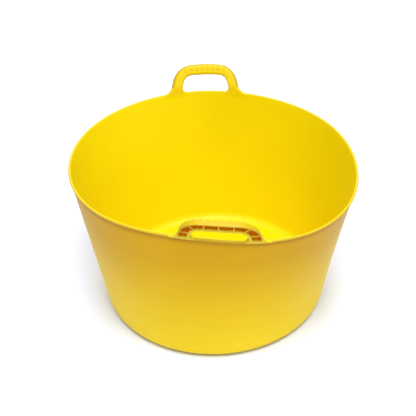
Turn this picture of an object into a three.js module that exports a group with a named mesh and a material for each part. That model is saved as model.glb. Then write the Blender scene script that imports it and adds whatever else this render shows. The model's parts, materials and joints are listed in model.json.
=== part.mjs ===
// Flexible mortar mixing tub: a shallow bucket with a rolled rim and two springy loop handles.
// Millimetres, +Z up. The origin is the centre of the base at ground level and the handles
// stand on the -Y side (front) and the +Y side (rear).
import * as THREE from 'three';

// Tub body
const RIM_RADIUS = 252;
const RIM_HEIGHT = 288;
const BEAD_RADIUS = 2.3;
const BEAD_PROUD = 1.7;
const WALL_DRAFT = 0.149;
const WALL_THICKNESS = 3;
const FLOOR_TOP = 4;
const HEEL_RADIUS = 22;
const HEEL_INNER_RADIUS = 19;
const RECESS_RADIUS = 165;
const RECESS_DEPTH = 1.5;

// Lasting set of the soft rim, at rim level: cosine and sine amplitudes by harmonic order.
// It fades towards the base with the square of the height.
const RIM_SET = [
  { order: 2, spread: [6.0, -12.4], rise: [-4.6, 5.0] },
  { order: 4, spread: [-3.2, 2.2], rise: [1.6, -0.2] },
];

// Handles
const HANDLE_LEAN = THREE.MathUtils.degToRad(24);
const HANDLE_SET_IN = 2.4;
const HANDLE_FOOT = 61.5;
const HANDLE_SPLAY = THREE.MathUtils.degToRad(19.5);
const HANDLE_TOP = 41.5;
const HANDLE_BEND_RADIUS = 26;
const HANDLE_CROWN = 3.8;
const CHANNEL_HEIGHT = 19;
const CHANNEL_DEPTH = 12.2;
const CHANNEL_CORNER = 5;
const CHANNEL_WALL = 3;
const RIB_THICKNESS = 2;
const HINGE_HEIGHT = 10.5;
const KNUCKLE_RADIUS = 6.2;
const KNUCKLE_TOP = 6.5;
const LEG_RIB_HEIGHT = 22;
const BEND_RIB_TURN = THREE.MathUtils.degToRad(29);
const BAR_RIB_SPACING = 22;

// Modelling
const SEAM = 0.3;
const ROUND_SEGMENTS = 72;
const WALL_LEVELS = 6;
const ARC_SEGMENTS = 5;
const BEAD_SEGMENTS = 10;

const moulded = { roughness: 0.42, metalness: 0 };
const skin = new THREE.MeshStandardMaterial({ color: 0xf5d000, ...moulded });
const outside = new THREE.MeshStandardMaterial({ color: 0xe8c41a, ...moulded });
const pocket = new THREE.MeshStandardMaterial({ color: 0xd9a010, ...moulded });

function rimSet(angle) {
  let spread = 0;
  let rise = 0;
  for (const wave of RIM_SET) {
    const cos = Math.cos(wave.order * angle);
    const sin = Math.sin(wave.order * angle);
    spread += wave.spread[0] * cos + wave.spread[1] * sin;
    rise += wave.rise[0] * cos + wave.rise[1] * sin;
  }
  return { spread, rise };
}

function mapPoints(geometry, map) {
  const position = geometry.getAttribute('position');
  const point = new THREE.Vector3();
  for (let i = 0; i < position.count; i += 1) {
    map(point.fromBufferAttribute(position, i));
    position.setXYZ(i, point.x, point.y, point.z);
  }
  geometry.computeVertexNormals();
  return geometry;
}

// Gives a point of the ideal round tub the lasting set of the real one.
function settle(point) {
  const fade = (point.z / RIM_HEIGHT) ** 2;
  const { spread, rise } = rimSet(Math.atan2(point.y, point.x));
  const radius = Math.hypot(point.x, point.y);
  if (radius > 0) {
    const stretch = 1 + (fade * spread) / radius;
    point.x *= stretch;
    point.y *= stretch;
  }
  point.z += fade * rise;
}

function part(name, geometry, material) {
  const mesh = new THREE.Mesh(geometry, material);
  mesh.name = name;
  return mesh;
}

// ---- tub body: rings turned about +Z ----

// The profile is a list of [radius, height] points, closed or ending on the axis.
function turned(profile) {
  const points = profile.map(([radius, height]) => new THREE.Vector2(radius, height));
  const geometry = new THREE.LatheGeometry(points, ROUND_SEGMENTS);
  geometry.rotateX(Math.PI / 2);
  return mapPoints(geometry, settle);
}

function arc(centre, radius, from, to, segments) {
  const points = [];
  for (let i = 0; i <= segments; i += 1) {
    const angle = from + ((to - from) * i) / segments;
    points.push([centre[0] + radius * Math.cos(angle), centre[1] + radius * Math.sin(angle)]);
  }
  return points;
}

const slant = Math.hypot(1, WALL_DRAFT);
const wallNormalAngle = -Math.atan(WALL_DRAFT);
const wallAtRim = RIM_RADIUS + BEAD_RADIUS - BEAD_PROUD;
const outerWall = (height) => wallAtRim - WALL_DRAFT * (RIM_HEIGHT - height);
const innerWall = (height) => outerWall(height) - WALL_THICKNESS * slant;
const heelCentre = [outerWall(HEEL_RADIUS) - HEEL_RADIUS * slant, HEEL_RADIUS];
const filletHeight = FLOOR_TOP + HEEL_INNER_RADIUS;
const filletCentre = [innerWall(filletHeight) - HEEL_INNER_RADIUS * slant, filletHeight];
const heelTop = filletHeight + HEEL_INNER_RADIUS * Math.sin(wallNormalAngle);
const wallTop = RIM_HEIGHT - BEAD_RADIUS - SEAM;

function tubFloor() {
  const edge = filletCentre[0] - SEAM;
  return turned([
    [0, RECESS_DEPTH],
    [RECESS_RADIUS, RECESS_DEPTH],
    [RECESS_RADIUS + RECESS_DEPTH, 0],
    [edge, 0],
    [edge, FLOOR_TOP],
    [0, FLOOR_TOP],
  ]);
}

function baseCorner() {
  const outer = arc(heelCentre, HEEL_RADIUS, -Math.PI / 2, wallNormalAngle, ARC_SEGMENTS);
  const inner = arc(filletCentre, HEEL_INNER_RADIUS, wallNormalAngle, -Math.PI / 2, ARC_SEGMENTS);
  const start = [filletCentre[0], 0];
  return turned([start, ...outer, [outerWall(heelTop), heelTop], ...inner, start]);
}

function sideWall() {
  const bottom = heelTop + SEAM;
  const outer = [];
  const inner = [];
  for (let i = 0; i <= WALL_LEVELS; i += 1) {
    const height = bottom + ((wallTop - bottom) * i) / WALL_LEVELS;
    outer.push([outerWall(height), height]);
    inner.unshift([innerWall(height), height]);
  }
  return turned([...outer, ...inner, outer[0]]);
}

function rimBead() {
  const ring = arc([RIM_RADIUS, RIM_HEIGHT], BEAD_RADIUS, 0, 2 * Math.PI, BEAD_SEGMENTS);
  ring[ring.length - 1] = ring[0];
  return turned(ring);
}

// ---- handles: drawn flat as the front handle, then wrapped onto the rim ----
// Flat coordinates: u along the rim, v up the handle, w out of the tub.

// Puts a flat point onto the front of the rim, in the tub's frame.
function onRim(u, v, w) {
  const angle = -Math.PI / 2 + u / RIM_RADIUS;
  const { spread, rise } = rimSet(angle);
  const out = v * Math.sin(HANDLE_LEAN) + w * Math.cos(HANDLE_LEAN);
  const up = v * Math.cos(HANDLE_LEAN) - w * Math.sin(HANDLE_LEAN);
  const radius = RIM_RADIUS - HANDLE_SET_IN + spread + out;
  return new THREE.Vector3(
    radius * Math.cos(angle),
    radius * Math.sin(angle),
    RIM_HEIGHT + rise + up,
  );
}

// The loop's centre line in the flat u, v plane, from the left foot to the right foot.
function loopPath() {
  const bendV = HANDLE_TOP - HANDLE_BEND_RADIUS;
  const legTop = bendV + HANDLE_BEND_RADIUS * Math.sin(HANDLE_SPLAY);
  const legTopU = HANDLE_FOOT - legTop * Math.tan(HANDLE_SPLAY);
  const bendU = legTopU - HANDLE_BEND_RADIUS * Math.cos(HANDLE_SPLAY);
  const path = new THREE.Path();
  path.moveTo(-HANDLE_FOOT, 0);
  path.lineTo(-legTopU, legTop);
  path.absarc(-bendU, bendV, HANDLE_BEND_RADIUS, Math.PI - HANDLE_SPLAY, Math.PI / 2, true);
  path.lineTo(bendU, HANDLE_TOP);
  path.absarc(bendU, bendV, HANDLE_BEND_RADIUS, Math.PI / 2, HANDLE_SPLAY, true);
  path.lineTo(HANDLE_FOOT, 0);
  return path;
}

const loop = loopPath();
const loopLength = loop.getLength();
const legLength = loop.curves[0].getLength();
const bendLength = HANDLE_BEND_RADIUS * (Math.PI / 2 - HANDLE_SPLAY);
const alongLeg = (height) => height / Math.cos(HANDLE_SPLAY);

// Bends a straight piece around the loop: x across the loop, y out of the tub, z along it.
function bend(geometry, start) {
  return mapPoints(geometry, (point) => {
    const at = THREE.MathUtils.clamp((start + point.z) / loopLength, 0, 1);
    const centre = loop.getPointAt(at);
    const tangent = loop.getTangentAt(at);
    const u = centre.x - tangent.y * point.x;
    const v = centre.y + tangent.x * point.x;
    const crown = HANDLE_CROWN * (v / HANDLE_TOP) * (1 - (u / HANDLE_FOOT) ** 2);
    point.copy(onRim(u, v + crown, point.y));
  });
}

// The handle's section: a channel with a rounded back, open out of the tub.
function channelShape() {
  const across = CHANNEL_HEIGHT / 2;
  const out = CHANNEL_DEPTH / 2;
  const side = across - CHANNEL_CORNER;
  const back = CHANNEL_CORNER - out;
  const shape = new THREE.Shape();
  shape.moveTo(across, out);
  shape.lineTo(across - CHANNEL_WALL, out);
  shape.lineTo(across - CHANNEL_WALL, CHANNEL_WALL - out);
  shape.lineTo(CHANNEL_WALL - across, CHANNEL_WALL - out);
  shape.lineTo(CHANNEL_WALL - across, out);
  shape.lineTo(-across, out);
  shape.lineTo(-across, back);
  shape.absarc(-side, back, CHANNEL_CORNER, Math.PI, 1.5 * Math.PI, false);
  shape.lineTo(side, -out);
  shape.absarc(side, back, CHANNEL_CORNER, 1.5 * Math.PI, 2 * Math.PI, false);
  return shape;
}

function channel(start, end, steps) {
  const options = { depth: end - start, steps, curveSegments: 3, bevelEnabled: false };
  return bend(new THREE.ExtrudeGeometry(channelShape(), options), start);
}

function rib(at) {
  const across = CHANNEL_HEIGHT - 2 * CHANNEL_WALL - 2 * SEAM;
  const out = CHANNEL_DEPTH - CHANNEL_WALL - SEAM;
  const plate = new THREE.BoxGeometry(across, out, RIB_THICKNESS);
  plate.translate(0, (CHANNEL_WALL + SEAM) / 2, 0);
  return bend(plate, at);
}

// Axis of the flexing line through both feet of the front handle.
const hingeLeft = onRim(-HANDLE_FOOT, HINGE_HEIGHT, 0);
const hingeRight = onRim(HANDLE_FOOT, HINGE_HEIGHT, 0);
const hingeAxis = hingeRight.clone().sub(hingeLeft).normalize();

// The foot of a leg: a block whose half-round underside turns about the flexing line.
function legRoot(side) {
  const shape = new THREE.Shape();
  shape.moveTo(KNUCKLE_RADIUS, KNUCKLE_TOP);
  shape.lineTo(-KNUCKLE_RADIUS, KNUCKLE_TOP);
  shape.lineTo(-KNUCKLE_RADIUS, 0);
  shape.absarc(0, 0, KNUCKLE_RADIUS, Math.PI, 2 * Math.PI, false);
  const options = { depth: CHANNEL_HEIGHT, curveSegments: 8, bevelEnabled: false };
  const geometry = new THREE.ExtrudeGeometry(shape, options);
  geometry.translate(0, 0, -CHANNEL_HEIGHT / 2);
  const up = new THREE.Vector3(0, -Math.sin(HANDLE_LEAN), Math.cos(HANDLE_LEAN));
  const out = new THREE.Vector3().crossVectors(up, hingeAxis).normalize();
  up.crossVectors(hingeAxis, out);
  const centre = hingeLeft.clone().lerp(hingeRight, side < 0 ? 0 : 1);
  const turn = new THREE.Matrix4().makeBasis(out, up, hingeAxis).setPosition(centre);
  return geometry.applyMatrix4(turn);
}

function handle(name) {
  const group = new THREE.Group();
  const legStart = alongLeg(HINGE_HEIGHT + KNUCKLE_TOP + 1);
  const farLeg = loopLength - legLength;
  const barMiddle = loopLength / 2;
  group.add(part(`${name}_root_left`, legRoot(-1), skin));
  group.add(part(`${name}_root_right`, legRoot(1), skin));
  group.add(part(`${name}_leg_left`, channel(legStart, legLength - SEAM, 3), skin));
  group.add(part(`${name}_grip`, channel(legLength, farLeg, 22), skin));
  group.add(part(`${name}_leg_right`, channel(farLeg + SEAM, loopLength - legStart, 3), skin));

  const bendRib = legLength + bendLength - HANDLE_BEND_RADIUS * BEND_RIB_TURN;
  const ribs = [
    alongLeg(LEG_RIB_HEIGHT),
    bendRib,
    barMiddle - BAR_RIB_SPACING,
    barMiddle,
    barMiddle + BAR_RIB_SPACING,
    loopLength - bendRib,
    loopLength - alongLeg(LEG_RIB_HEIGHT),
  ];
  ribs.forEach((at, index) => group.add(part(`${name}_rib_${index + 1}`, rib(at), pocket)));
  return group;
}

const tub = new THREE.Group();
tub.add(part('tub_floor', tubFloor(), skin));
tub.add(part('base_corner', baseCorner(), outside));
tub.add(part('side_wall', sideWall(), outside));
tub.add(part('rim_bead', rimBead(), skin));

const frontHandle = handle('front_handle');
const rearHandle = handle('rear_handle');
rearHandle.rotation.z = Math.PI;
tub.add(frontHandle, rearHandle);

export default tub;
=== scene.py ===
"""A flexible mortar mixing tub: one satin yellow moulding with two springy loop handles."""
import json
import math
from itertools import product

import bpy
import numpy as np
from mathutils import Matrix, Vector


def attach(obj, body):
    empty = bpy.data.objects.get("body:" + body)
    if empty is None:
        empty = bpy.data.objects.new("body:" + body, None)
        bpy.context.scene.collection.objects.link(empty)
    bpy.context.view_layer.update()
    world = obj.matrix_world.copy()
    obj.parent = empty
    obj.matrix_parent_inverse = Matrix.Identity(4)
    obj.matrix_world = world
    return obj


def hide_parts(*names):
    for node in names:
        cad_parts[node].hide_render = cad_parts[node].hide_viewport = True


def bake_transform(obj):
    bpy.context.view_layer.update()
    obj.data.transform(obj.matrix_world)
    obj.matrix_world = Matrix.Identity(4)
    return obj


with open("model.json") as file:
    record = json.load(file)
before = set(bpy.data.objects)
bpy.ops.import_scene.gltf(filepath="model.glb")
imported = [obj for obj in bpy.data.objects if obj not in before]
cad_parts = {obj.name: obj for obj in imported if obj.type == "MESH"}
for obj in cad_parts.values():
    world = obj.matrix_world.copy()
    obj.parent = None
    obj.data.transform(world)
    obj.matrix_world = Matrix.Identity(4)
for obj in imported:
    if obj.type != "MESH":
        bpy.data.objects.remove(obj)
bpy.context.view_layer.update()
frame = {"record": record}
scene = bpy.context.scene
MM = 0.001

# ---------------------------------------------------------------- dimensions, in millimetres
# Tub body
RIM_RADIUS = 252.0
RIM_HEIGHT = 288.0
BEAD_RADIUS = 2.3
BEAD_PROUD = 1.7
BEAD_NECK = 0.9
BEAD_TURNS = (-1.0, math.pi * 0.97)
INSIDE_TOP = RIM_HEIGHT - 2
WALL_DRAFT = 0.149
WALL_THICKNESS = 3.0
FLOOR_TOP = 4.0
HEEL_RADIUS = 22.0
HEEL_INNER_RADIUS = 19.0
RESTING_RADIUS = 180.0
RECESS_RADIUS = 165.0
RECESS_DEPTH = 1.5
RECESS_RINGS = (60.0, 120.0)
FLOOR_RINGS = (0.97, 0.85, 0.6, 0.3, 0)
GATE_RADIUS = 7.0
GATE_HEIGHT = 0.6
EDGE_SOFTENING = 0.6

# Unevenness that the turned mould left in the outer wall: depth, pitch and phase
TURNING = ((0.05, 2.9, 0), (0.04, 1.7, 1), (0.05, 6.1, 0))
TURNING_FADE_BELOW = 15.0
TURNING_FADE_ABOVE = 8.0

# Lasting set of the soft rim: order, (cosine, sine) of the spread and of the rise
RIM_SET = (
    (2, (6.0, -12.4), (-4.6, 5.0)),
    (4, (-3.2, 2.2), (1.6, -0.2)),
)

# Handles: the loop and its channel section
HANDLE_LEAN = math.radians(24)
HANDLE_SET_IN = 2.4
HANDLE_FOOT = 61.5
HANDLE_SPLAY = math.radians(19.5)
HANDLE_TOP = 41.5
HANDLE_BEND = 26.0
HANDLE_CROWN = 3.8
CHANNEL_HEIGHT = 19.0
CHANNEL_DEPTH = 12.2
CHANNEL_WALL = 3.8
CHANNEL_CORNER = 1.0
LEG_WIDENING = 0.8

# Handles: pockets and the ribs between them
POCKET_BACK = 3.2
POCKET_OFFSET = 1.0
POCKET_REACH = 20.0
POCKET_CORNER = 1.2
POCKET_FOOT = 8.5
RIB_THICKNESS = 1.8
RIB_RECESS = 0.6
RIB_FILLET = 0.8
LEG_RIB_HEIGHT = 22.0
BEND_RIB_TURN = math.radians(29)
BAR_RIB_SPACING = 22.0

# Handles: how the legs spread and run into the wall
FOOT_SPREAD_TOP = 14.0
FOOT_SPREAD_HEIGHT = 11.0
FOOT_SPREAD_OUT = 8.0
FOOT_SPREAD_IN = 6.0
FOOT_RUN_TOP = 22.0
FOOT_RUN_END = -13.0
FOOT_RUN_DEPTH = 2.2
FOOT_FILLET = 4.0
LIP_FILLET = 1.5
TRIM_DEPTH = 0.3
TRIM_FILLET = 0.8

# Handles: grip bumps round the inner top edge
BUMP_SPACING = 10.6
BUMP_COUNT = 8
BUMP_WIDTH = 5.6
BUMP_HEIGHT = 1.3
BUMP_FACING = math.radians(-56)
BUMP_REACH = math.radians(56)

# Where the colours end: the painted shade under the lip, the painted highlight on it, the painted
# shade on a handle's outer edge, and the painted shade of deeper orange in the pockets
LIP_SHADE = 10.0
LIP_HIGHLIGHT_RINGS = 6
EDGE_BAND = 2.5
POCKET_SHADE_BAR = 3.0
POCKET_SHADE_LEG = 1.4
POCKET_SHADE_BACK = 1.5
POCKET_SHADE_SIDE = 0.3
POCKET_SHADE_FOOT = 0.5

# Fineness of the meshes, the block of space that holds a handle, and how far the handle's bit of
# rim and wall lies under the shell's faces
ROUND_STEPS = 288
HEEL_STEPS = 12
WALL_RINGS = 110
BEAD_STEPS = 16
INNER_WALL_RINGS = 40
FILLET_STEPS = 14
NET_STEP = 0.9
NET_LOW = (-98.0, -24.0, -9.0)
NET_HIGH = (98.0, 62.0, 14.0)
SUNK = 0.25

# ---------------------------------------------------------------- colours, in linear light
# OUTSIDE is a darker, more orange copy of the inside plastic as painted shade on the outer wall; OUTSIDE_LOW
# brightens it near the ground as painted light from the floor
OUTSIDE = (0.65, 0.36, 0.0)
OUTSIDE_LOW = (0.93, 0.68, 0.005)
INSIDE = (0.765, 0.61, 0.0)
RIM = (0.62, 0.43, 0.001)
# a paler copy of the rim colour: a painted highlight along the inner side of the bead
LIP_HIGHLIGHT = (0.70, 0.54, 0.02)
SKIN = (0.72, 0.535, 0.002)
# a darker copy of the handle plastic: painted shade on the loop's outer edge where the light falls most
EDGE_SHADE = (0.54, 0.37, 0.001)
# deep orange of the pockets: painted shade and bounced light in the recesses
POCKET_SHADE = (0.84, 0.34, 0.001)
# how much the outer wall's colour is darkened just under the lip: painted shade
LIP_SHADE_TINT = (0.76, 0.60, 1.0)
STUDIO_FLOOR = (0.805, 0.845, 0.99)

# Heights in metres between which the low colour, brightened as painted light from the floor, turns into the
# full one
COLOUR_HEIGHTS = (0.01, 0.24)


def rim_set(angle):
    """Spread and rise of the rim at an angle about +Z."""
    spread = sum(s[0] * np.cos(n * angle) + s[1] * np.sin(n * angle) for n, s, _ in RIM_SET)
    rise = sum(r[0] * np.cos(n * angle) + r[1] * np.sin(n * angle) for n, _, r in RIM_SET)
    return spread, rise


# ---------------------------------------------------------------- camera
CAMERA_AZIMUTH = math.radians(-1.64)
CAMERA_ELEVATION = math.radians(37.15)
CAMERA_ROLL = math.radians(-1.72)
CAMERA_DISTANCE = 1.6575
CAMERA_TARGET = Vector((0, 0, 0.1434))
CAMERA_LENS = 75.83
CAMERA_SHIFT = (-0.01344, 0.03909)


def make_camera():
    data = bpy.data.cameras.new("camera")
    data.lens = CAMERA_LENS
    data.shift_x, data.shift_y = CAMERA_SHIFT
    data.clip_start, data.clip_end = 0.05, 50
    camera = bpy.data.objects.new("camera", data)
    scene.collection.objects.link(camera)
    a, e, r = CAMERA_AZIMUTH, CAMERA_ELEVATION, CAMERA_ROLL
    back = Vector((math.sin(a) * math.cos(e), -math.cos(a) * math.cos(e), math.sin(e)))
    right = Vector((math.cos(a), math.sin(a), 0))
    up = back.cross(right)
    turned_right = right * math.cos(r) + up * math.sin(r)
    turned_up = back.cross(turned_right)
    turn = Matrix((turned_right, turned_up, back)).transposed().to_4x4()
    camera.matrix_world = Matrix.Translation(CAMERA_TARGET + back * CAMERA_DISTANCE) @ turn
    scene.camera = camera


make_camera()


# ---------------------------------------------------------------- mesh helpers
def add_mesh(name, points, faces):
    """A smooth mesh from points in millimetres."""
    mesh = bpy.data.meshes.new(name)
    mesh.from_pydata((np.asarray(points) * MM).tolist(), [], faces)
    mesh.polygons.foreach_set("use_smooth", [True] * len(mesh.polygons))
    mesh.update()
    piece = bpy.data.objects.new(name, mesh)
    scene.collection.objects.link(piece)
    return piece


def arc(centre, radius, start, end, steps):
    """Points of an arc in the (radius, height) plane."""
    turns = np.linspace(start, end, steps + 1)
    return [(centre[0] + radius * math.cos(t), centre[1] + radius * math.sin(t)) for t in turns]


# ---------------------------------------------------------------- tub shell
UNDER_LIP = RIM_HEIGHT - BEAD_RADIUS - BEAD_NECK
SLANT = math.hypot(1, WALL_DRAFT)
WALL_NORMAL = -math.atan(WALL_DRAFT)


def outer_wall(height):
    return RIM_RADIUS + BEAD_RADIUS - BEAD_PROUD - WALL_DRAFT * (RIM_HEIGHT - height)


def inner_wall(height):
    return outer_wall(height) - WALL_THICKNESS * SLANT


def turning(height):
    """How far the turned mould left the outer wall proud."""
    return sum(depth * math.sin(height / pitch + phase) for depth, pitch, phase in TURNING)


def shell_profile():
    """(radius, height) from the middle of the underside round the rim to the middle of the floor,
    with the index of the first point on the bead, on its painted highlight and on the inside."""
    heel_centre = (outer_wall(HEEL_RADIUS) - HEEL_RADIUS * SLANT, HEEL_RADIUS)
    fillet_height = FLOOR_TOP + HEEL_INNER_RADIUS
    fillet_centre = (inner_wall(fillet_height) - HEEL_INNER_RADIUS * SLANT, fillet_height)
    points = [
        (0, RECESS_DEPTH - GATE_HEIGHT),
        (GATE_RADIUS, RECESS_DEPTH - GATE_HEIGHT),
        (GATE_RADIUS + EDGE_SOFTENING, RECESS_DEPTH),
        *((radius, RECESS_DEPTH) for radius in RECESS_RINGS),
        (RECESS_RADIUS - EDGE_SOFTENING, RECESS_DEPTH),
        (RECESS_RADIUS, RECESS_DEPTH - EDGE_SOFTENING / 3),
        (RECESS_RADIUS + RECESS_DEPTH, EDGE_SOFTENING / 3),
        (RECESS_RADIUS + RECESS_DEPTH + EDGE_SOFTENING, 0),
        (RESTING_RADIUS, 0),
    ]
    points += arc(heel_centre, HEEL_RADIUS, -math.pi / 2, WALL_NORMAL, HEEL_STEPS)
    wall_bottom = points[-1][1]
    for height in np.linspace(wall_bottom, UNDER_LIP, WALL_RINGS)[1:]:
        above, below = height - wall_bottom, UNDER_LIP - height
        fade = np.clip(min(above / TURNING_FADE_BELOW, below / TURNING_FADE_ABOVE), 0, 1)
        points.append((outer_wall(height) + turning(height) * fade, height))
    bead_start = len(points) - 1
    points += arc((RIM_RADIUS, RIM_HEIGHT), BEAD_RADIUS, *BEAD_TURNS, BEAD_STEPS)
    inside_start = len(points) - 2
    # the last bead rings before the inside carry the painted highlight
    highlight_start = inside_start - LIP_HIGHLIGHT_RINGS
    for height in np.linspace(INSIDE_TOP, fillet_height, INNER_WALL_RINGS):
        points.append((inner_wall(height), height))
    points += arc(fillet_centre, HEEL_INNER_RADIUS, WALL_NORMAL, -math.pi / 2, FILLET_STEPS)
    points += [(fillet_centre[0] * share, FLOOR_TOP) for share in FLOOR_RINGS]
    return points, bead_start, highlight_start, inside_start


def settle(points):
    """Gives points of the ideal round tub the lasting set of the real one."""
    angle = np.arctan2(points[:, 1], points[:, 0])
    radius = np.hypot(points[:, 0], points[:, 1])
    fade = (points[:, 2] / RIM_HEIGHT) ** 2
    spread, rise = rim_set(angle)
    stretch = 1 + fade * spread / np.maximum(radius, 1e-6)
    return np.stack([points[:, 0] * stretch, points[:, 1] * stretch, points[:, 2] + fade * rise], 1)


# the line material is the painted highlight on the lip
def make_shell(outside, rim, line, inside):
    profile, *starts = shell_profile()
    turns = np.arange(ROUND_STEPS) * 2 * math.pi / ROUND_STEPS
    points = [(r * math.cos(t), r * math.sin(t), h) for r, h in profile[1:-1] for t in turns]
    points += [(0, 0, profile[0][1]), (0, 0, profile[-1][1])]
    bottom, floor = len(points) - 2, len(points) - 1
    rings = len(profile) - 2
    last = (rings - 1) * ROUND_STEPS
    faces, face_rows = [], []
    for i in range(ROUND_STEPS):
        j = (i + 1) % ROUND_STEPS
        faces += [(bottom, j, i), (floor, last + i, last + j)]
        face_rows += [0, rings]
        for row in range(rings - 1):
            a, b = row * ROUND_STEPS, (row + 1) * ROUND_STEPS
            faces.append((a + i, a + j, b + j, b + i))
            face_rows.append(row)
    shell = add_mesh("tub_shell", settle(np.array(points)), faces)
    for material in (outside, rim, line, inside):
        shell.data.materials.append(material)
    shell.data.polygons.foreach_set("material_index", [sum(row >= s for s in starts) for row in face_rows])
    # how close each point of the outside is to the lip above it, which sets the painted shade under the lip
    reach = [
        max(0, 1 - (UNDER_LIP - height) / LIP_SHADE) * (row <= starts[0])
        for row, (_, height) in enumerate(profile)
    ]
    near_lip = shell.data.attributes.new("near_lip", "FLOAT", "POINT")
    near_lip.data.foreach_set("value", np.append(np.repeat(reach[1:-1], ROUND_STEPS), [0, 0]))
    return shell


# ---------------------------------------------------------------- handle, as a distance field
# Flat coordinates: u along the rim, v up the handle, w out of the tub.
BEND_V = HANDLE_TOP - HANDLE_BEND
LEG_TOP_V = BEND_V + HANDLE_BEND * math.sin(HANDLE_SPLAY)
BEND_U = HANDLE_FOOT - LEG_TOP_V * math.tan(HANDLE_SPLAY) - HANDLE_BEND * math.cos(HANDLE_SPLAY)
BEND_LENGTH = HANDLE_BEND * (math.pi / 2 - HANDLE_SPLAY)
BEAD_CENTRE = (HANDLE_SET_IN * math.sin(HANDLE_LEAN), HANDLE_SET_IN * math.cos(HANDLE_LEAN))


def along_leg(height):
    """Distance along the loop from its middle to that height on a leg."""
    return BEND_U + BEND_LENGTH + (LEG_TOP_V - height) / math.cos(HANDLE_SPLAY)


def loop_place(u, v):
    """(distance outside the loop's centre line, distance along it from its middle)."""
    u = np.abs(u)
    v = v / (1 + HANDLE_CROWN / HANDLE_TOP * np.clip(1 - (u / HANDLE_FOOT) ** 2, 0, 1))
    du, dv = u - BEND_U, v - BEND_V
    turn = np.arctan2(dv, np.maximum(du, 1e-9))
    down_leg = du * math.sin(HANDLE_SPLAY) - dv * math.cos(HANDLE_SPLAY)
    on_leg = down_leg > 0
    on_bar = du < 0
    across = np.hypot(du, dv) - HANDLE_BEND
    across = np.where(on_leg, du * math.cos(HANDLE_SPLAY) + dv * math.sin(HANDLE_SPLAY) - HANDLE_BEND, across)
    across = np.where(on_bar, v - HANDLE_TOP, across)
    along = BEND_U + HANDLE_BEND * (math.pi / 2 - turn)
    along = np.where(on_leg, BEND_U + BEND_LENGTH + down_leg, along)
    along = np.where(on_bar, u, along)
    return across, along


def rounded_box(x, y, half_x, half_y, radius):
    """Distance to a rectangle with round corners."""
    qx = np.abs(x) - half_x + radius
    qy = np.abs(y) - half_y + radius
    return np.hypot(np.maximum(qx, 0), np.maximum(qy, 0)) + np.minimum(np.maximum(qx, qy), 0) - radius


def smooth_min(a, b, size):
    """The lower of two distances, with a fillet of about that size where they meet."""
    share = np.clip(0.5 + 0.5 * (b - a) / size, 0, 1)
    return b + (a - b) * share - size * share * (1 - share)


def smooth_max(a, b, size):
    return -smooth_min(-a, -b, size)


def wall_faces(v):
    """Where the wall's outer and inner faces lie (w) at a flat height v below the rim."""
    lean = HANDLE_LEAN + WALL_NORMAL
    outer_at_rim = (HANDLE_SET_IN + BEAD_RADIUS - BEAD_PROUD) / math.cos(HANDLE_LEAN)
    outer = outer_at_rim - v * math.tan(lean)
    return outer, outer - WALL_THICKNESS / math.cos(lean)


def inner_face(v):
    """Where the leg's inner face lies: it runs down into the wall."""
    run = np.clip((FOOT_RUN_TOP - v) / (FOOT_RUN_TOP - FOOT_RUN_END), 0, 1)
    run = run * run * (3 - 2 * run)
    return (1 - run) * -CHANNEL_DEPTH / 2 + run * (wall_faces(v)[1] + FOOT_RUN_DEPTH)


def leg_widening(along):
    return LEG_WIDENING * np.clip((along - BEND_U) / BEND_LENGTH, 0, 1)


def handle_field(points):
    """Signed distance, in flat coordinates, to the handle and the bit of rim it grows from."""
    u, v, w = points[..., 0], points[..., 1], points[..., 2]
    across, along = loop_place(u, v)
    half_height, half_depth = CHANNEL_HEIGHT / 2, CHANNEL_DEPTH / 2
    wall_out, wall_in = wall_faces(v)
    # the legs spread at the foot
    spread = np.clip((FOOT_SPREAD_TOP - v) / FOOT_SPREAD_HEIGHT, 0, 1.2) ** 2
    spread_out, spread_in = FOOT_SPREAD_OUT * spread, FOOT_SPREAD_IN * spread
    widening = leg_widening(along)
    face_in = inner_face(v)
    middle, depth = (half_depth + face_in) / 2, (half_depth - face_in) / 2
    corner = np.where(w < middle, depth - 0.1, CHANNEL_CORNER)
    bar = rounded_box(across - (spread_out - spread_in) / 2, w - middle,
                      half_height + widening + (spread_out + spread_in) / 2, depth, corner)
    lip_v, lip_w = BEAD_CENTRE
    rim = np.hypot(v - lip_v, w - lip_w) - (BEAD_RADIUS - SUNK)
    wall_slope = math.cos(HANDLE_LEAN + WALL_NORMAL)
    from_middle = np.abs(w - (wall_out + wall_in) / 2) * wall_slope
    wall = np.maximum(from_middle - (WALL_THICKNESS / 2 - SUNK), v - lip_v)
    body = smooth_min(bar, np.minimum(rim, wall), FOOT_FILLET)
    # nothing stands out of the wall below the lip
    lip_side = np.maximum(w - half_depth, lip_v - v)
    wall_side = (w - wall_out + TRIM_DEPTH) * wall_slope
    body = smooth_max(body, smooth_min(wall_side, lip_side, LIP_FILLET), TRIM_FILLET)
    # grip bumps round the inner top edge
    last = (BUMP_COUNT - 1) / 2
    nearest = np.clip(np.round(u / BUMP_SPACING + 0.5) - 0.5, -last, last)
    ridge = np.clip(1 - ((u - BUMP_SPACING * nearest) / (BUMP_WIDTH / 2)) ** 2, 0, 1)
    facing = (np.arctan2(w, across) - BUMP_FACING) / BUMP_REACH
    body = body - BUMP_HEIGHT * ridge * np.clip(1 - facing**2, 0, 1)
    # pockets between the ribs
    floor = face_in + POCKET_BACK
    pocket = rounded_box(across - POCKET_OFFSET, w - (POCKET_REACH + floor) / 2,
                         half_height + widening - CHANNEL_WALL, (POCKET_REACH - floor) / 2, POCKET_CORNER)
    stations = [0, BAR_RIB_SPACING, BEND_U + HANDLE_BEND * BEND_RIB_TURN, along_leg(LEG_RIB_HEIGHT)]
    near_rib = np.min([np.abs(along - s) for s in stations], axis=0)
    rib = np.maximum(near_rib - RIB_THICKNESS / 2, w - (half_depth - RIB_RECESS))
    pocket = smooth_max(pocket, -rib, RIB_FILLET)
    pocket = smooth_max(pocket, POCKET_FOOT - v, RIB_FILLET)
    return smooth_max(body, -pocket, POCKET_CORNER)


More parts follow.
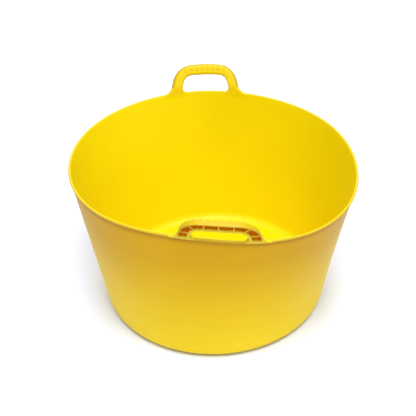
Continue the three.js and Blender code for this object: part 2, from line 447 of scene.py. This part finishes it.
# these faces take the deeper orange as painted shade in the pockets
def in_pocket(points):
    """Which flat points lie down inside the handle's pockets."""
    u, v, w = points.T
    across, along = loop_place(u, v)
    half_height = CHANNEL_HEIGHT / 2 + leg_widening(along) - CHANNEL_WALL
    beside = np.abs(across - POCKET_OFFSET) < half_height + POCKET_SHADE_SIDE
    below = w < CHANNEL_DEPTH / 2 - np.where(across < 0, POCKET_SHADE_BAR, POCKET_SHADE_LEG)
    above = w > inner_face(v) + POCKET_SHADE_BACK
    return beside & below & above & (v > POCKET_FOOT - POCKET_SHADE_FOOT)


def edge_ends(field, axis):
    """A sampled field at the near and far ends of the grid edges along an axis."""
    count = field.shape[axis]
    return np.take(field, range(count - 1), axis), np.take(field, range(1, count), axis)


def surface_net(field, low, step):
    """Points and quads on the zero level of a sampled field, one point in each cell it crosses."""
    cells = tuple(n - 1 for n in field.shape)
    # a cell's point is the mean of where its edges cross the level
    total = np.zeros(cells + (3,))
    count = np.zeros(cells)
    for axis in range(3):
        others = [a for a in range(3) if a != axis]
        near, far = edge_ends(field, axis)
        crossed = (near < 0) != (far < 0)
        share = np.where(crossed, near / np.where(crossed, near - far, 1), 0)
        for shifts in product((0, 1), repeat=2):
            window = [slice(None)] * 3
            for other, shift in zip(others, shifts):
                window[other] = slice(shift, shift + cells[other])
            count += crossed[tuple(window)]
            total[..., axis] += share[tuple(window)]
            for other, shift in zip(others, shifts):
                total[..., other] += crossed[tuple(window)] * shift
    used = count > 0
    number = np.full(cells, -1)
    number[used] = np.arange(used.sum())
    points = low + step * (np.argwhere(used) + total[used] / count[used][:, None])
    # a crossed edge gives a quad between the four cells round it
    unit = np.eye(3, dtype=int)
    quads = []
    for axis in range(3):
        e, f = (axis + 1) % 3, (axis + 2) % 3
        near, far = edge_ends(field < 0, axis)
        for sign in (True, False):
            at = np.argwhere((near != far) & (near == sign))
            at = at[(at[:, e] > 0) & (at[:, f] > 0) & (at[:, e] < cells[e]) & (at[:, f] < cells[f])]
            around = [at, at - unit[e], at - unit[e] - unit[f], at - unit[f]]
            ring = np.stack([number[tuple(c.T)] for c in around], 1)
            quads.append(ring if sign else ring[:, ::-1])
    return points, np.concatenate(quads)


def settle_net(points, quads, field, rounds):
    """Evens the points out and puts them back on the surface."""
    small = 0.05
    edges = np.concatenate([quads[:, [i, (i + 1) % 4]] for i in range(4)])
    edges = np.unique(np.sort(edges, axis=1), axis=0)
    both = np.concatenate([edges, edges[:, ::-1]])
    neighbours = np.bincount(both[:, 0], minlength=len(points))[:, None]
    for _ in range(rounds):
        mean = np.stack([np.bincount(both[:, 0], points[both[:, 1], k], len(points)) for k in range(3)], 1)
        points = points + 0.5 * (mean / neighbours - points)
        for _ in range(2):
            value = field(points)
            slope = np.stack([field(points + small * shift) - value for shift in np.eye(3)], 1) / small
            points = points - (value / np.maximum((slope**2).sum(1), 0.25))[:, None] * slope
    return points


def on_rim(points, end):
    """Puts flat points onto the rim: end -1 is the front handle and +1 the rear one."""
    u, v, w = points[:, 0], points[:, 1], points[:, 2]
    angle = -math.pi / 2 + u / RIM_RADIUS
    spread, rise = rim_set(angle)
    out = v * math.sin(HANDLE_LEAN) + w * math.cos(HANDLE_LEAN)
    height = RIM_HEIGHT + v * math.cos(HANDLE_LEAN) - w * math.sin(HANDLE_LEAN)
    fade = np.minimum(height / RIM_HEIGHT, 1) ** 2
    radius = RIM_RADIUS - HANDLE_SET_IN + fade * spread + out
    side = -end
    return np.stack([side * radius * np.cos(angle), side * radius * np.sin(angle), height + fade * rise], 1)


def handle_net():
    axes = [np.arange(low, high, NET_STEP) for low, high in zip(NET_LOW, NET_HIGH)]
    grid = np.stack(np.meshgrid(*axes, indexing="ij"), -1)
    points, quads = surface_net(handle_field(grid), np.array(NET_LOW), NET_STEP)
    return settle_net(points, quads, handle_field, 4), quads


# the pocket and edge materials carry painted shade
def make_handle(name, end, net, skin, pocket, edge, inside):
    points, quads = net
    piece = add_mesh(f"{name}_moulding", on_rim(points, end), quads.tolist())
    for material in (skin, pocket, edge, inside):
        piece.data.materials.append(material)
    middles = points[quads].mean(1)
    u, v, w = middles.T
    across = loop_place(u, v)[0]
    # numbers of the material slots above
    # the loop's outer edge takes the painted shade
    index = np.where((across > CHANNEL_HEIGHT / 2 - EDGE_BAND) & (v > FOOT_SPREAD_TOP), 2, 0)
    index = np.where((v < BEAD_CENTRE[0]) & (w < BEAD_CENTRE[1]), 3, index)
    # pocket faces take the painted shade
    index = np.where(in_pocket(middles), 1, index)
    piece.data.polygons.foreach_set("material_index", index)
    return piece


# ---------------------------------------------------------------- materials
def add_node(tree, kind, inputs, values=None):
    """A new node with its inputs linked from sockets and others set to values."""
    node = tree.nodes.new(kind)
    for name, source in inputs.items():
        tree.links.new(source, node.inputs[name])
    for name, value in (values or {}).items():
        node.inputs[name].default_value = value
    return node


def noise(tree, place, scale, detail):
    values = {"Scale": scale, "Detail": detail}
    return add_node(tree, "ShaderNodeTexNoise", {"Vector": place}, values).outputs["Fac"]


def map_range(tree, source, start, end, low, high):
    """A value carried from start and end to low and high."""
    values = {"From Min": start, "From Max": end, "To Min": low, "To Max": high}
    return add_node(tree, "ShaderNodeMapRange", {"Value": source}, values).outputs["Result"]


def combine(tree, operation, first, second):
    node = add_node(tree, "ShaderNodeMath", {0: first, 1: second})
    node.operation = operation
    return node.outputs["Value"]


def height_colour(tree, place, colour, low_colour):
    """The low colour near the ground, brightened as painted light from the floor, the colour above, and a
    darker copy of it under the lip as painted shade.
    """
    split = add_node(tree, "ShaderNodeSeparateXYZ", {"Vector": place})
    height = map_range(tree, split.outputs["Z"], *COLOUR_HEIGHTS, 0, 1)
    near_lip = add_node(tree, "ShaderNodeAttribute", {})
    near_lip.attribute_name = "near_lip"
    place_on_ramp = map_range(tree, combine(tree, "ADD", height, near_lip.outputs["Fac"]), 0, 2, 0, 1)
    fade = add_node(tree, "ShaderNodeValToRGB", {"Fac": place_on_ramp})
    low, middle = fade.color_ramp.elements
    low.color = (*low_colour, 1)
    middle.position = 0.5
    middle.color = (*colour, 1)
    # painted shade under the lip: a darker copy of the wall colour
    under_lip = fade.color_ramp.elements.new(1.0)
    under_lip.color = (*(part * tint for part, tint in zip(colour, LIP_SHADE_TINT)), 1)
    return fade.outputs["Color"]


def plastic(name, colour, low_colour, ring_strength, shine):
    """A satin plastic with clouds of tone, grain, and rings that the turned mould left."""
    material = bpy.data.materials.new(name)
    material.use_nodes = True
    tree = material.node_tree
    tree.nodes.clear()
    place = add_node(tree, "ShaderNodeTexCoord", {}).outputs["Object"]

    stretch = add_node(tree, "ShaderNodeMapping", {"Vector": place}, {"Scale": (9, 9, 210)})
    rings = noise(tree, stretch.outputs["Vector"], 1, 3)
    grain = noise(tree, place, 90, 6)
    clouds = noise(tree, place, 6, 4)

    tone = map_range(tree, clouds, 0.3, 0.7, 0.965, 1.02)
    streak = map_range(tree, rings, 0.3, 0.7, 1 - 0.05 * ring_strength, 1 + 0.05 * ring_strength)
    tint = add_node(tree, "ShaderNodeHueSaturation", {
        "Value": combine(tree, "MULTIPLY", tone, streak),
        "Color": height_colour(tree, place, colour, low_colour),
    })
    ring_bump = add_node(tree, "ShaderNodeBump", {"Height": rings},
                         {"Strength": ring_strength, "Distance": 0.0004})
    grain_bump = add_node(tree, "ShaderNodeBump", {"Height": grain, "Normal": ring_bump.outputs["Normal"]},
                          {"Strength": 0.12, "Distance": 0.0002})
    shader = add_node(tree, "ShaderNodeBsdfPrincipled", {
        "Base Color": tint.outputs["Color"],
        "Roughness": map_range(tree, grain, 0, 1, 0.40, 0.52),
        "Normal": grain_bump.outputs["Normal"],
    }, {"IOR": 1.5, "Specular IOR Level": shine})
    add_node(tree, "ShaderNodeOutputMaterial", {"Surface": shader.outputs["BSDF"]})
    return material


outside_plastic = plastic("tub_outside", OUTSIDE, OUTSIDE_LOW, 0.5, 0.12)
rim_plastic = plastic("tub_rim", RIM, RIM, 0.0, 0.25)
# painted highlight along the inner side of the lip
highlight_plastic = plastic("tub_lip_highlight", LIP_HIGHLIGHT, LIP_HIGHLIGHT, 0.0, 0.25)
inside_plastic = plastic("tub_inside", INSIDE, INSIDE, 0.04, 0.25)
handle_plastic = plastic("handle_plastic", SKIN, SKIN, 0.0, 0.3)
# painted shade on the handles' outer edge
edge_shade_plastic = plastic("handle_edge_shade", EDGE_SHADE, EDGE_SHADE, 0.0, 0.25)
# painted shade in the pockets
pocket_shade_plastic = plastic("handle_pocket_shade", POCKET_SHADE, POCKET_SHADE, 0.0, 0.15)


# ---------------------------------------------------------------- the pieces
shell = make_shell(outside_plastic, rim_plastic, highlight_plastic, inside_plastic)
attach(shell, "tub")
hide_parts("tub_floor", "base_corner", "side_wall", "rim_bead")


net = handle_net()
for name, end in (("front_handle", -1), ("rear_handle", 1)):
    handle = make_handle(name, end, net, handle_plastic, pocket_shade_plastic, edge_shade_plastic, inside_plastic)
    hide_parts(*frame["record"]["behaviour"]["bodies"][name])
    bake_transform(handle)


# ---------------------------------------------------------------- studio
def make_floor(half_side):
    corners = [(x * half_side, y * half_side, 0) for x, y in ((-1, -1), (1, -1), (1, 1), (-1, 1))]
    mesh = bpy.data.meshes.new("floor")
    mesh.from_pydata(corners, [], [(0, 1, 2, 3)])
    floor = bpy.data.objects.new("floor", mesh)
    scene.collection.objects.link(floor)
    material = bpy.data.materials.new("floor")
    material.use_nodes = True
    shader = material.node_tree.nodes["Principled BSDF"]
    shader.inputs["Base Color"].default_value = (*STUDIO_FLOOR, 1)
    shader.inputs["Roughness"].default_value = 0.9
    mesh.materials.append(material)


def area_light(name, place, target, size, power):
    data = bpy.data.lights.new(name, "AREA")
    data.shape = "DISK"
    data.size = size
    data.energy = power
    light = bpy.data.objects.new(name, data)
    scene.collection.objects.link(light)
    light.location = place
    light.rotation_mode = "QUATERNION"
    light.rotation_quaternion = (Vector(target) - Vector(place)).to_track_quat("-Z", "Y")


def make_world(strength):
    """The same soft white light from all round."""
    world = bpy.data.worlds.new("studio")
    world.use_nodes = True
    background = world.node_tree.nodes["Background"]
    background.inputs["Color"].default_value = (1, 1, 1, 1)
    background.inputs["Strength"].default_value = strength
    scene.world = world


make_floor(8)
area_light("key", (0.1, -0.9, 2.4), (0, 0, 0.1), 1.7, 71)
area_light("back", (0, 1.7, 1.9), (0, 1.1, 0), 1.6, 27)
make_world(0.45)
scene.view_settings.view_transform = "Standard"
